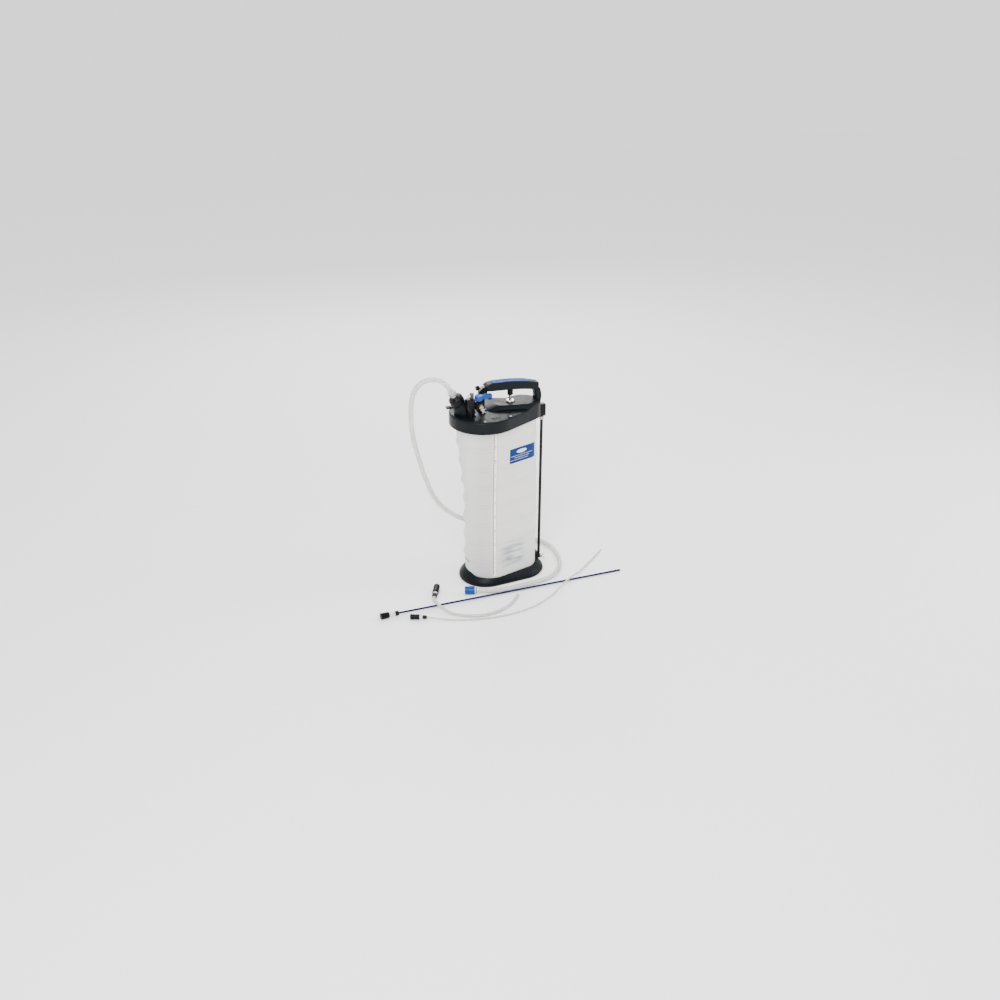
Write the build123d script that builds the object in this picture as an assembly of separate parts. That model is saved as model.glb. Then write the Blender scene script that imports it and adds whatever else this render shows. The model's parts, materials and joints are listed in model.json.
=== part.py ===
"""Hand vacuum extractor: a pear-plan fluid tank in a foot boot, closed by a lid that carries a
lever pump, a compressed-air venturi, a suction inlet with its hose, and three loose probes.

Millimetres. The origin is on the ground below the middle of the boot, +Z is up, +X runs to the
narrow end of the tank and -Y is the front. Each sub-part is one file in parts/."""

import os
from math import cos, radians, sin, sqrt, tan

from build123d import *

# Plan outlines: (left lobe centre X, its radius, right lobe centre X, its radius)
TANK_LOW = (-36.0, 70.0, 62.0, 48.0)
TANK_TOP = (-52.0, 80.0, 60.0, 48.0)
BOOT_FOOT = (-46.0, 80.0, 58.0, 76.0)
BOOT_STEP = (-44.0, 79.0, 59.0, 70.0)
BOOT_RIM = (-36.0, 72.4, 62.0, 50.4)
LID_PLAN = (-50.0, 98.0, 78.0, 44.0)
FLANGE_PLAN = (-51.0, 92.5, 76.5, 40.0)
GASKET_PLAN = (-52.0, 83.0, 61.0, 48.2)
HUMP_PLANS = [((-14.0, 40.0, 80.0, 60.0), 526.0), ((-4.0, 31.0, 76.0, 48.0), 539.0),
              ((6.0, 23.0, 68.0, 37.0), 546.0)]

# Tank
TANK_FLOOR, TANK_WAIST, TANK_RIM, TANK_SKIN = 8.0, 270.0, 509.0, 2.5
RIB_FIRST, RIB_PITCH, RIB_COUNT, RIB_HALF, RIB_SWELL, RIB_BACK = 78.0, 60.0, 7, 13.0, 3.5, 3.8
FLANGE_THICK, GASKET_THICK = 6.0, 3.0
PLATE_LOW, PLATE_HIGH, PLATE_X, PLATE_LONG, PLATE_CORNER = 382.0, 427.0, 41.0, 93.0, 2.0
STRIP_X, STRIP_WIDE, STRIP_LOW, STRIP_HIGH, LABEL_SKIN = -46.0, 12.0, 30.0, 495.0, 0.5

# Boot
BOOT_STEP_Z, BOOT_TOP, RIM_Z, RIGHT_TOP = 15.0, 64.0, 25.0, 50.0
RIM_LEFT, RIM_RIGHT = (-105.0, 16.0), (107.0, 12.0)  # X of each upright end, and its bend radius
LUG_X, LUG_HALF, LUG_TOP = 121.0, 11.0, 46.0

# Lid
SKIRT_LOW, DECK, DECK_THICK, SKIRT_THICK, HUMP_TOP = 497.0, 532.0, 4.0, 3.0, 546.0
SCREWS = [(-80.5, -84.6), (-80.5, 84.6), (0.0, -74.9), (0.0, 74.9)]
SCREW_R, SCREW_HEAD_R, SCREW_HEAD = 2.0, 4.0, 2.4
VENT_COUNT, VENT_X, VENT_PITCH, VENT_Y = 6, -53.0, 4.4, (-79.0, -64.0)

# Lever pump: its rod slides 84.8 mm for each radian of the lever
FIT = 0.05
ROD_X, ROD_R, ROD_TOP = 31.0, 4.0, 575.0
PIVOT_X, PIVOT_Z, PILLAR_SCREW = 108.0, 584.0, (105.2, 0.0, 554.0)
LEVER_HALF, LEVER_WALL, LEVER_NOSE, LEVER_HEEL = 14.0, 3.5, -47.0, (114.5, 594.2)
LEVER_TOP = [(-41.0, 609.0), (-12.0, 611.5), (30.0, 609.5), (70.0, 604.5), (108.0, 596.0)]
LEVER_UNDER = [(64.0, 581.5), (25.0, 585.5), (-27.0, 588.5), (-47.0, 590.5)]
EAR_R, TONGUE_HALF, TONGUE_R, PIVOT_PIN_R = 12.0, 6.0, 9.0, 4.0
CROSS_Z, CROSS_R, CROSS_HALF, CROSS_SLACK, SLOT_X = 592.5, 3.0, 12.2, 1.8, (10.6, 34.6)
CLEVIS_R, CLEVIS_LOW, CLEVIS_SHOULDER, CLEVIS_TOP = 8.4, 566.0, 588.5, 596.5
INLAY_X, INLAY_LONG, INLAY_WIDE, INLAY_DEEP, INLAY_PROUD = 29.5, 116.0, 24.0, 2.0, 1.2
BORE_R, CYLINDER_R, CYLINDER_LOW, CYLINDER_HIGH = 22.0, 25.0, 455.0, 540.0
PISTON_LOW, PISTON_THICK = 467.0, 12.0

# Latch at the lever's nose, and its post
LATCH_Z, LATCH_PIN_R, KNOB_X = 600.0, 2.5, -62.2
POST_LEFT, POST_RIGHT, POST_HALF, POST_TOP = -65.0, -49.0, 8.0, 592.0

# Inlet, tilted towards -X
INLET_FOOT, INLET_TILT, DROP_X = (-118.0, 0.0, 552.0), 30.0, -107.0
INLET_AXIS = (-sin(radians(INLET_TILT)), 0.0, cos(radians(INLET_TILT)))

# Float shut-off below the lid
FLOAT_X, FLOAT_Y, FLOAT_R, CAGE_R, CAGE_LONG = -32.0, 22.0, 12.0, 15.5, 46.0

# Venturi block and air valve, whose plug tips down towards -Y
VENTURI = (-112.0, -89.5, -37.0, -15.0, 556.0, 582.0)
RISER, RISER_R, RISER_FOOT_R, RELIEF = (-98.0, -25.0), 11.0, 14.0, (-104.0, -28.0)
VALVE_X, VALVE_Y, VALVE_LOW, VALVE_HIGH, VALVE_HALF = -77.0, -31.0, 551.0, 573.0, 9.9
VALVE_HUB_R, VALVE_HUB_LOW, VALVE_HUB_HIGH = 11.5, 576.5, 591.5
PLUG_Z, PLUG_TIP, ADAPTER_START, ADAPTER_LONG = 566.0, 20.0, 9.8, 6.0
PLUG_AXIS = (0.0, -cos(radians(PLUG_TIP)), -sin(radians(PLUG_TIP)))

# Tie rod at the narrow end
TIE_R, TIE_FOOT, TIE_HEAD, TIE_EYE_R = 4.5, (127.0, 0.0, 26.0), (130.0, 0.0, 500.0), 6.5
TIE_EYE, BOLT_R, BOLT_END, NUT_X, FERRULE_UP = (124.0, 129.5), 3.0, 145.0, 132.2, 450.5
HOLDER = (118.0, 140.0, -9.0, 9.0, 487.0, 524.0)

# Hoses and probes: corners of each route, from the piece that it leaves
HOSE_R = 7.0
HOSE_ROUTE = [
    (-146.5, 0, 601.3), (-159.5, 0, 623.8), (-178, 1, 638.5), (-202.5, 3, 645), (-227, 6, 640),
    (-246, 9, 622.5), (-256, 13, 595), (-259, 17.5, 558), (-257.5, 22, 518), (-252, 28, 474),
    (-241.5, 35, 428), (-227, 44, 378), (-209, 57, 324), (-186, 72, 266), (-155, 88, 212),
    (-112, 101, 168), (-60, 111, 131), (-6, 121, 94), (50, 131, 56), (104, 140, 24),
    (157, 141, 9), (194, 111, 7.2), (204, 60, 7.2), (195, -6, 7.2), (170, -62, 7.2),
    (130, -100, 7.2), (82, -112, 7.2), (28, -114, 7.2), (-26, -114, 7.2), (-74, -111, 8),
    (-109, -97, 12.2),
]
THIN_R, THICK_R, RIGID_R, GRIP_R = 2.5, 4.5, 3.0, 9.5
THIN_ROUTE = [
    (-294.5, -172, 8.3), (-262, -188, 3.6), (-216, -212, 2.7), (-168, -229, 2.7),
    (-118, -238.5, 2.7), (-64, -241.5, 2.7), (-10, -235, 2.7), (40, -217, 2.7), (88, -191, 3.2),
    (130, -164, 13.4), (178, -131, 13.4), (222, -98, 3.2), (262, -68, 2.7), (302, -36, 2.7),
    (340, -3, 2.7),
]
THICK_ROUTE = [
    (-240, -79, 9.6), (-252, -102, 16.6), (-247, -131, 16.6), (-234, -160, 6.6),
    (-212, -187, 4.7), (-178, -209, 4.7), (-140, -221, 4.7), (-98, -218, 4.7),
    (-58, -202, 4.7), (-29, -180, 4.7), (-9, -156, 4.7),
]
RIGID_BACK, RIGID_TIP = (-416.0, -119.5, 10.1), (334.0, -139.0, 3.3)
RIGID_GRIP, RIGID_NECK, RIGID_NUT, COLLAR_END = 26.0, 43.0, 50.0, 22.0


def grow(plan, by):
    """The same plan outline, wider all round by the amount given."""
    return (plan[0], plan[1] + by, plan[2], plan[3] + by)


def pear(plan, z):
    """Two round lobes and the straight walls that join them, as a level face."""
    left, left_r, right, right_r = plan
    lean = (left_r - right_r) / (right - left)
    rise = sqrt(1 - lean**2)
    near, far = (left + left_r * lean, left_r * rise), (right + right_r * lean, right_r * rise)
    near_low, far_low = (near[0], -near[1]), (far[0], -far[1])
    outline = [
        Line(near, far),
        ThreePointArc(far, (right + right_r, 0), far_low),
        Line(far_low, near_low),
        ThreePointArc(near_low, (left - left_r, 0), near),
    ]
    return Pos(0, 0, z) * make_face(outline)


def block(plan, low, high):
    return extrude(pear(plan, low), high - low)


def bar(start, end, radius, bore=0.0):
    """A round bar between two points, or a tube if it has a bore."""
    axis = Vector(*end) - Vector(*start)
    section = Circle(radius) - Circle(bore) if bore else Circle(radius)
    return extrude(Plane(origin=start, z_dir=axis) * section, axis.length)


def turned(profile, start, axis):
    """A solid of revolution: (radius, height) corners, stood on a point along an axis."""
    corners = [(radius, 0, height) for radius, height in profile]
    solid = revolve(make_face(Polyline(*corners, close=True)), Axis.Z)
    return Plane(origin=start, z_dir=axis) * solid


def along(start, axis, distance):
    """The point at a distance from another along an axis."""
    unit = Vector(*axis).normalized()
    return tuple(a + distance * b for a, b in zip(start, unit))


def slab(x_low, x_high, y_low, y_high, z_low, z_high, edge=0.0):
    """A block between two corners, its upright edges rounded if an edge radius is given."""
    centre = Pos((x_low + x_high) / 2, (y_low + y_high) / 2, (z_low + z_high) / 2)
    solid = centre * Box(x_high - x_low, y_high - y_low, z_high - z_low)
    return fillet(solid.edges().filter_by(Axis.Z), edge) if edge else solid


def side_plate(outline, half):
    """A profile drawn in X and Z, extruded both ways from the middle plane."""
    return extrude(Plane.XZ * make_face(outline), half, both=True)


def cord(route, radius, name):
    """A tube of straight runs and the largest arcs that its corners allow."""
    points = [Vector(*point) for point in route]
    runs = [(b - a).length for a, b in zip(points, points[1:])]
    radii = []
    for number in range(1, len(points) - 1):
        turn = (points[number] - points[number - 1]).get_angle(points[number + 1] - points[number])
        radii.append(0.45 * min(runs[number - 1], runs[number]) / tan(radians(turn) / 2))
    path = FilletPolyline(*points, radius=radii)
    tube = sweep(Plane(origin=path @ 0, z_dir=path % 0) * Circle(radius), path)
    share = tube.volume / (3.14159265 * radius**2 * path.length)
    print(name, "length", round(path.length), "volume share", round(share, 4))
    print("  radii", [round(r) for r in radii], "runs", [round(run) for run in runs])
    return tube


# ---- Tank and its boot


def tank_plan(z):
    """The tank's outline at a height: above the waist it widens towards the rim."""
    share = max(0.0, (z - TANK_WAIST) / (TANK_RIM - TANK_WAIST))
    return tuple(a + (b - a) * share for a, b in zip(TANK_LOW, TANK_TOP))


def tank_form(skin, ribs=True):
    """The tank's solid form, drawn in by the skin. Its ribs swell at the ends and the back."""
    form = block(grow(TANK_LOW, -skin), TANK_FLOOR + skin, TANK_WAIST)
    form += loft([pear(grow(tank_plan(z), -skin), z) for z in (TANK_WAIST, TANK_RIM)])
    for number in range(RIB_COUNT if ribs else 0):
        middle = RIB_FIRST + number * RIB_PITCH
        low, high = middle - RIB_HALF, middle + RIB_HALF
        crest = Pos(0, RIB_BACK, 0) * pear(grow(tank_plan(middle), RIB_SWELL - skin), middle)
        edges = [pear(grow(tank_plan(z), -skin - 0.3), z) for z in (low, high)]
        form += loft([edges[0], crest, edges[1]])
    return form


def tank():
    outer = tank_form(0) + block(FLANGE_PLAN, TANK_RIM - FLANGE_THICK, TANK_RIM)
    shell = outer - tank_form(TANK_SKIN)
    for x, y in SCREWS:
        shell -= bar((x, y, TANK_RIM - FLANGE_THICK), (x, y, TANK_RIM), SCREW_R + FIT)
    return shell


def tank_skin(patch):
    """A thin layer on the tank's outer face, within a patch. The patch is on the smooth front."""
    return (tank_form(-LABEL_SKIN, ribs=False) & patch) - tank_form(0)


def label_plate():
    left, left_r, right, right_r = tank_plan((PLATE_LOW + PLATE_HIGH) / 2)
    lean = (left_r - right_r) / (right - left)
    front = Plane(origin=(PLATE_X, -30, (PLATE_LOW + PLATE_HIGH) / 2),
                  x_dir=(sqrt(1 - lean**2), lean, 0), z_dir=(lean, -sqrt(1 - lean**2), 0))
    patch = extrude(front * RectangleRounded(PLATE_LONG, PLATE_HIGH - PLATE_LOW, PLATE_CORNER), 60)
    return tank_skin(patch)


def scale_strip():
    left, right = STRIP_X - STRIP_WIDE / 2, STRIP_X + STRIP_WIDE / 2
    return tank_skin(slab(left, right, -100, -40, STRIP_LOW, STRIP_HIGH))


def rim_cut():
    """What the boot's rim is cut down to: level along the sides, and upright at the ends."""
    (left, left_bend), (right, right_bend) = RIM_LEFT, RIM_RIGHT
    above = BOOT_TOP + 10
    corners = [(left, above), (left, RIM_Z), (right, RIM_Z), (right, RIGHT_TOP), (200, RIGHT_TOP)]
    edge = FilletPolyline(*corners, radius=[left_bend, right_bend, 3])
    close = [Line((200, RIGHT_TOP), (200, above)), Line((200, above), (left, above))]
    return side_plate([edge, *close], 150)


def base_boot():
    levels = [(grow(BOOT_FOOT, -2.5), 0), (BOOT_FOOT, 4), (BOOT_STEP, BOOT_STEP_Z)]
    body = loft([pear(plan, z) for plan, z in [*levels, (BOOT_RIM, BOOT_TOP)]])
    body -= rim_cut()
    body += slab(LUG_X - 16, LUG_X, -LUG_HALF, LUG_HALF, 12, LUG_TOP)
    body -= tank_form(0, ribs=False)
    body -= block(grow(BOOT_FOOT, -9), 0, 2.5) - block(grow(BOOT_FOOT, -40), 0, 2.5)
    body -= slab(TIE_EYE[0] - 0.1, 140, -9, 9, TIE_FOOT[2] - 8.5, 80)
    return body - bar((111, 0, TIE_FOOT[2]), (130, 0, TIE_FOOT[2]), BOLT_R + FIT)


# ---- Lid


def lid_form():
    """The lid's outer form: a low deck, and a hump that fills the narrow end to its wall."""
    deck = block(LID_PLAN, SKIRT_LOW, DECK)
    deck = fillet(deck.faces().sort_by(Axis.Z)[-1].edges(), 5)
    hump = loft([pear(plan, z) for plan, z in HUMP_PLANS])
    return deck + (hump & block(LID_PLAN, SKIRT_LOW, HUMP_TOP + 5))


def hand_recess():
    """The long slot at the foot of the hump's front."""
    slot = slab(-46, 46, -9, 9, 0, 6, edge=4)
    return Pos(16, -47, DECK + 0.6) * Rot(0, 0, -12.6) * slot


def lid():
    shell = lid_form() - hand_recess()
    for x, y in SCREWS:
        shell += bar((x, y, DECK - 1), (x, y, DECK + 1.2), SCREW_HEAD_R + 2.2)
    cavity = block(grow(LID_PLAN, -SKIRT_THICK), SKIRT_LOW, DECK - DECK_THICK)
    seal_low = TANK_RIM + GASKET_THICK
    cavity -= block(GASKET_PLAN, seal_low, DECK) - block(grow(TANK_TOP, -1.5), seal_low, DECK)
    for x, y in SCREWS:
        cavity -= bar((x, y, TANK_RIM), (x, y, DECK), 3.5)
    shell -= cavity
    for x, y in SCREWS:
        shell -= bar((x, y, TANK_RIM - 1), (x, y, DECK + 2), SCREW_R + FIT)
    shell -= bar((ROD_X, 0, DECK - 5), (ROD_X, 0, CYLINDER_HIGH), CYLINDER_R)
    shell -= bar((ROD_X, 0, DECK), (ROD_X, 0, HUMP_TOP + 1), 7)
    for number in range(VENT_COUNT):
        left = VENT_X + number * VENT_PITCH
        shell -= slab(left, left + VENT_PITCH / 2, *VENT_Y, DECK - 1.5, DECK + 1)
    shell -= bar(along(INLET_FOOT, INLET_AXIS, -32), along(INLET_FOOT, INLET_AXIS, 20), 8.2)
    return shell - bar((*RISER, DECK - 6), (*RISER, DECK + 1), 4)


def lid_screws():
    heads = []
    for x, y in SCREWS:
        foot = DECK + 1.2
        shape = [(0, TANK_RIM - FLANGE_THICK - foot), (SCREW_R, TANK_RIM - FLANGE_THICK - foot),
                 (SCREW_R, 0), (SCREW_HEAD_R, 0), (SCREW_HEAD_R, 1.2), (3, SCREW_HEAD), (0, SCREW_HEAD)]
        screw = turned(shape, (x, y, foot), (0, 0, 1))
        slot = slab(x - 2.6, x + 2.6, y - 0.5, y + 0.5, foot + 1.2, foot + 3)
        heads.append(screw - slot - slab(x - 0.5, x + 0.5, y - 2.6, y + 2.6, foot + 1.2, foot + 3))
    return heads


def tank_gasket():
    outer = block(GASKET_PLAN, TANK_RIM, TANK_RIM + GASKET_THICK)
    return outer - block(grow(TANK_TOP, -1.5), TANK_RIM, TANK_RIM + GASKET_THICK)


# ---- Lever, its pillar and its latch


def ear_circle(radius, half):
    return bar((PIVOT_X, -half, PIVOT_Z), (PIVOT_X, half, PIVOT_Z), radius)


def ear_point(degrees):
    """A point on the rim of the lever's pivot ear, in X and Z."""
    return (PIVOT_X + EAR_R * cos(radians(degrees)), PIVOT_Z + EAR_R * sin(radians(degrees)))


def handle_pillar():
    inner = Spline((103.5, 536), (106.0, 555), (101.5, 573))
    outer = Spline((118.5, 577), (122.5, 560), (120.5, 536))
    outline = [inner, Line((101.5, 573), (118.5, 577)), outer, Line((120.5, 536), (103.5, 536))]
    body = side_plate(outline, LEVER_HALF - 0.5)
    body = fillet(body.faces().filter_by(Axis.Y).edges().filter_by(GeomType.BSPLINE), 2.5)
    body -= ear_circle(EAR_R + 0.6, LEVER_HALF + 1)
    neck = slab(104, 116, -TONGUE_HALF, TONGUE_HALF, 560, PIVOT_Z)
    body += neck + ear_circle(TONGUE_R, TONGUE_HALF)
    body -= ear_circle(PIVOT_PIN_R + FIT, LEVER_HALF)
    x, y, z = PILLAR_SCREW
    body -= bar((x - 5, y, z), (x + 10, y, z), 2.5)
    return body - lid_form()


def pillar_screw():
    shape = [(0, -10), (2.5, -10), (2.5, 0), (5, 0), (5, 1.5), (3.4, 3.2), (0, 3.2)]
    return turned(shape, PILLAR_SCREW, (-1, 0, 0))


def lever_top(lift):
    """The curve of the lever's back, lifted by an amount."""
    return Spline(*[(x, z + lift) for x, z in LEVER_TOP], tangents=[(1, 0.45), (1, -0.3)])


def lever_band(low, high):
    """The layer of the lever between two heights from the curve of its back."""
    first, last = LEVER_TOP[0], LEVER_TOP[-1]
    ends = [Line((x, z + low), (x, z + high)) for x, z in (first, last)]
    return side_plate([lever_top(low), ends[0], lever_top(high), ends[1]], LEVER_HALF)


def inlay_plan():
    return Pos(INLAY_X, 0, 570) * extrude(RectangleRounded(INLAY_LONG, INLAY_WIDE, 8), 60)


def handle_lever():
    heel_low = (LEVER_HEEL[0], PIVOT_Z - sqrt(EAR_R**2 - (LEVER_HEEL[0] - PIVOT_X) ** 2))
    under = ear_point(225)
    outline = [
        lever_top(0),
        Line(LEVER_TOP[-1], LEVER_HEEL),
        Line(LEVER_HEEL, heel_low),
        ThreePointArc(heel_low, ear_point(260), under),
        Spline(under, *LEVER_UNDER),
        Line(LEVER_UNDER[-1], (LEVER_NOSE, 605.0)),
        Line((LEVER_NOSE, 605.0), LEVER_TOP[0]),
    ]
    body = side_plate(outline, LEVER_HALF)
    body = fillet(body.faces().filter_by(Axis.Y).edges(), 2.5)
    wall = LEVER_HALF - LEVER_WALL
    channel = [
        Line((-37, 570), (-37, 604)),
        Spline((-37, 604), (-12, 606), (30, 604.5), (70, 599.3), (88, 596)),
        Line((88, 596), (88, 570)),
        Line((88, 570), (-37, 570)),
    ]
    body -= side_plate(channel, wall)
    body -= slab(94, 125, -TONGUE_HALF - 0.4, TONGUE_HALF + 0.4, 566, PIVOT_Z)
    body -= ear_circle(TONGUE_R + 0.5, TONGUE_HALF + 0.4)
    slot_half = CROSS_R + CROSS_SLACK
    body -= slab(*SLOT_X, -CROSS_HALF - 0.4, CROSS_HALF + 0.4, CROSS_Z - slot_half, CROSS_Z + slot_half)
    body -= ear_circle(PIVOT_PIN_R, LEVER_HALF - 1.5)
    body -= bar((LEVER_NOSE - 1, 0, LATCH_Z), (-36, 0, LATCH_Z), LATCH_PIN_R + 0.5)
    return body - (lever_band(-INLAY_DEEP, 12) & inlay_plan())


def handle_inlay():
    pad = lever_band(-INLAY_DEEP, INLAY_PROUD) & inlay_plan()
    for number in range(9):
        x = INLAY_X - 40 + number * 10
        pad -= slab(x, x + 1.2, -8, 8, 590, 614) & lever_band(INLAY_PROUD - 0.6, 12)
    return pad


def handle_pin():
    return ear_circle(PIVOT_PIN_R, LEVER_HALF - 1.5)


def latch_post():
    post = slab(POST_LEFT, POST_RIGHT, -POST_HALF, POST_HALF, DECK - 1, POST_TOP, edge=3)
    post += slab(-57, POST_RIGHT - 0.5, -7, 7, POST_TOP - 2, LATCH_Z + 1)
    post += slab(POST_RIGHT - 2, -41, -6, 6, 578, 588.2)
    foot = slab(POST_LEFT - 4, POST_RIGHT + 4, -POST_HALF - 4, POST_HALF + 4, DECK, DECK + 4, edge=5)
    post += foot
    post -= bar((-60, 0, LATCH_Z), (-46, 0, LATCH_Z), 6)
    return post - lid_form()


def latch_bushing():
    return bar((-57, 0, LATCH_Z), (POST_RIGHT - 0.4, 0, LATCH_Z), 6, LATCH_PIN_R + FIT)


def latch_pin():
    return bar((KNOB_X - 8, 0, LATCH_Z), (LEVER_NOSE - 1.5, 0, LATCH_Z), LATCH_PIN_R)


def latch_knob():
    """The knob stands drawn back, with the latch's travel between it and the post."""
    shape = [(0, 0), (4.5, 0), (6.5, 2), (6.5, 9), (5.5, 11), (0, 11)]
    knob = turned(shape, (KNOB_X, 0, LATCH_Z), (-1, 0, 0))
    for number in range(12):
        turn = radians(30 * number)
        y, z = 6.9 * cos(turn), LATCH_Z + 6.9 * sin(turn)
        knob -= bar((KNOB_X - 12, y, z), (KNOB_X + 1, y, z), 0.9)
    return knob - latch_pin()


# ---- Pump


def pump_rod():
    return bar((ROD_X, 0, PISTON_LOW - 6), (ROD_X, 0, ROD_TOP), ROD_R)


def rod_clevis():
    shape = [(0, 0), (6.5, 0), (CLEVIS_R, 2), (CLEVIS_R, CLEVIS_SHOULDER - CLEVIS_LOW),
             (5, CLEVIS_TOP - CLEVIS_LOW), (0, CLEVIS_TOP - CLEVIS_LOW)]
    body = turned(shape, (ROD_X, 0, CLEVIS_LOW), (0, 0, 1))
    body -= bar((ROD_X, 0, CLEVIS_LOW), (ROD_X, 0, ROD_TOP), ROD_R)
    body -= turned([(CLEVIS_R - 1, 6), (CLEVIS_R + 1, 6), (CLEVIS_R + 1, 9), (CLEVIS_R - 1, 9)],
                   (ROD_X, 0, CLEVIS_LOW), (0, 0, 1))
    return body - bar((ROD_X, -20, CROSS_Z), (ROD_X, 20, CROSS_Z), CROSS_R)


def clevis_pin():
    return bar((ROD_X, -CROSS_HALF, CROSS_Z), (ROD_X, CROSS_HALF, CROSS_Z), CROSS_R)


def rod_gland():
    shape = [(ROD_R + FIT, -8), (7, -8), (7, 0), (12.5, 0), (12.5, 3), (11, 5), (ROD_R + FIT, 5)]
    body = turned(shape, (ROD_X, 0, HUMP_TOP), (0, 0, 1))
    return body - bar((ROD_X, 0, HUMP_TOP - 8), (ROD_X, 0, HUMP_TOP - 4), 6)


def rod_seal():
    return bar((ROD_X, 0, HUMP_TOP - 7.5), (ROD_X, 0, HUMP_TOP - 4.2), 5.9, ROD_R + FIT)


def pump_cylinder():
    return bar((ROD_X, 0, CYLINDER_LOW), (ROD_X, 0, CYLINDER_HIGH - 2.2), CYLINDER_R, BORE_R)


def cylinder_cap():
    shape = [(0, -6), (CYLINDER_R, -6), (CYLINDER_R, 0), (BORE_R, 0), (BORE_R, 4), (0, 4)]
    body = turned(shape, (ROD_X, 0, CYLINDER_LOW), (0, 0, 1))
    for number in range(4):
        turn = radians(45 + 90 * number)
        x, y = ROD_X + 14 * cos(turn), 14 * sin(turn)
        body -= bar((x, y, CYLINDER_LOW - 7), (x, y, CYLINDER_LOW + 5), 3)
    return body - bar((ROD_X, 0, CYLINDER_LOW), (ROD_X, 0, CYLINDER_LOW + 5), 1.5)


def intake_flap():
    """The rubber flap over the cap's four holes, held by its middle stud."""
    return turned([(0, -3), (1.5, -3), (1.5, 0), (18, 0), (18, 1), (3, 1), (3, 1.6), (0, 1.6)],
                  (ROD_X, 0, CYLINDER_LOW + 4), (0, 0, 1))


def piston():
    shape = [(ROD_R, 0), (BORE_R - FIT, 0), (BORE_R - FIT, 4), (BORE_R - 3, 4), (BORE_R - 3, 8),
             (BORE_R - FIT, 8), (BORE_R - FIT, PISTON_THICK), (ROD_R, PISTON_THICK)]
    body = turned(shape, (ROD_X, 0, PISTON_LOW), (0, 0, 1))
    for number in range(3):
        turn = radians(120 * number)
        x, y = ROD_X + 12 * cos(turn), 12 * sin(turn)
        body -= bar((x, y, PISTON_LOW - 1), (x, y, PISTON_LOW + PISTON_THICK + 1), 2.5)
    return body


def piston_seal():
    return bar((ROD_X, 0, PISTON_LOW + 4), (ROD_X, 0, PISTON_LOW + 8), BORE_R - FIT, BORE_R - 3)


def piston_nut():
    base = PISTON_LOW - 5
    nut = extrude(Pos(ROD_X, 0, base) * RegularPolygon(8, 6), 5)
    return nut - bar((ROD_X, 0, base - 1), (ROD_X, 0, PISTON_LOW), ROD_R)


def exhaust_flap():
    base = PISTON_LOW + PISTON_THICK
    return bar((ROD_X, 0, base), (ROD_X, 0, base + 1.2), 15.5, ROD_R)


# ---- Float shut-off and inlet


def float_cage():
    """A slotted basket under the lid that guides the ball up to the port's seat."""
    top, low = DECK - DECK_THICK, DECK - DECK_THICK - CAGE_LONG
    body = bar((FLOAT_X, FLOAT_Y, low), (FLOAT_X, FLOAT_Y, top), CAGE_R, FLOAT_R + 0.6)
    body += bar((FLOAT_X, FLOAT_Y, low), (FLOAT_X, FLOAT_Y, low + 2), CAGE_R, 6)
    body += bar((FLOAT_X, FLOAT_Y, top - 4), (FLOAT_X, FLOAT_Y, top), CAGE_R, 5)
    for number in range(3):
        window = Pos(FLOAT_X, FLOAT_Y, low + 20) * Rot(0, 0, 60 * number) * Box(40, 9, 26)
        body -= window
    return body


def float_ball():
    """The ball at rest on its cage's floor."""
    rest = DECK - DECK_THICK - CAGE_LONG + FLOAT_R + 0.6
    return Pos(FLOAT_X, FLOAT_Y, rest) * Sphere(FLOAT_R - 0.6)


def inlet_boss():
    low, high = along(INLET_FOOT, INLET_AXIS, -50), along(INLET_FOOT, INLET_AXIS, 30)
    shape = [(8.2, -44), (27, -44), (27, -14), (24, 0), (20, 11), (15, 15), (15, 20), (8.2, 20)]
    body = turned(shape, INLET_FOOT, INLET_AXIS)
    ear = slab(-156, -124, 10, 22, 546.5, 552, edge=3)
    body += ear - bar(low, high, 15)
    body -= bar(low, high, 8.2)
    body -= bar((*RISER, 500), (*RISER, 570), RISER_FOOT_R)
    x_low, x_high, y_low, y_high, z_low, z_high = VENTURI
    body -= slab(x_low - 0.3, x_high + 10, y_low, y_high + 0.3, z_low - 0.3, z_high)
    trimmed = body - lid_form() - slab(-160, -80, -60, 60, 480, 531)
    return trimmed.solids().sort_by(SortBy.VOLUME)[-1]


def inlet_nut():
    """The ribbed swivel cap that draws the hose tail down."""
    shape = [(15.3, 15.6), (20, 15.6), (20.6, 17), (20.6, 32), (18, 36.5), (9.4, 38),
             (9.4, 34), (15.3, 34)]
    body = turned(shape, INLET_FOOT, INLET_AXIS)
    frame = Plane(origin=INLET_FOOT, z_dir=INLET_AXIS)
    for number in range(20):
        turn = radians(18 * number)
        groove = Pos(21.2 * cos(turn), 21.2 * sin(turn), 25) * Cylinder(1.5, 22)
        body -= frame * groove
    return body


def inlet_tail():
    """The hose tail: a flange under the nut, and a barb that the hose grips."""
    shape = [(4, 20.3), (14.8, 20.3), (14.8, 33.6), (9.2, 33.6), (9.2, 46), (6, 46),
             (6, 56.8), (4, 56.8)]
    return turned(shape, INLET_FOOT, INLET_AXIS)


def hose_clamp():
    shape = [(6.1, 46.3), (10.5, 46.3), (11, 47.5), (11, 50), (10, 50.6), (10, 51.6), (11, 52.2),
             (11, 55), (10.5, 56.4), (7.2, 56.8), (6.1, 56.8)]
    return turned(shape, INLET_FOOT, INLET_AXIS)


def drop_tube():
    """The spout below the lid that leads the fluid down into the tank."""
    top = DECK - DECK_THICK
    body = bar((DROP_X, 0, 470), (DROP_X, 0, top), 8, 6)
    return body + bar((DROP_X, 0, top - 3), (DROP_X, 0, top), 11, 6)


# ---- Venturi and air valve


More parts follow.
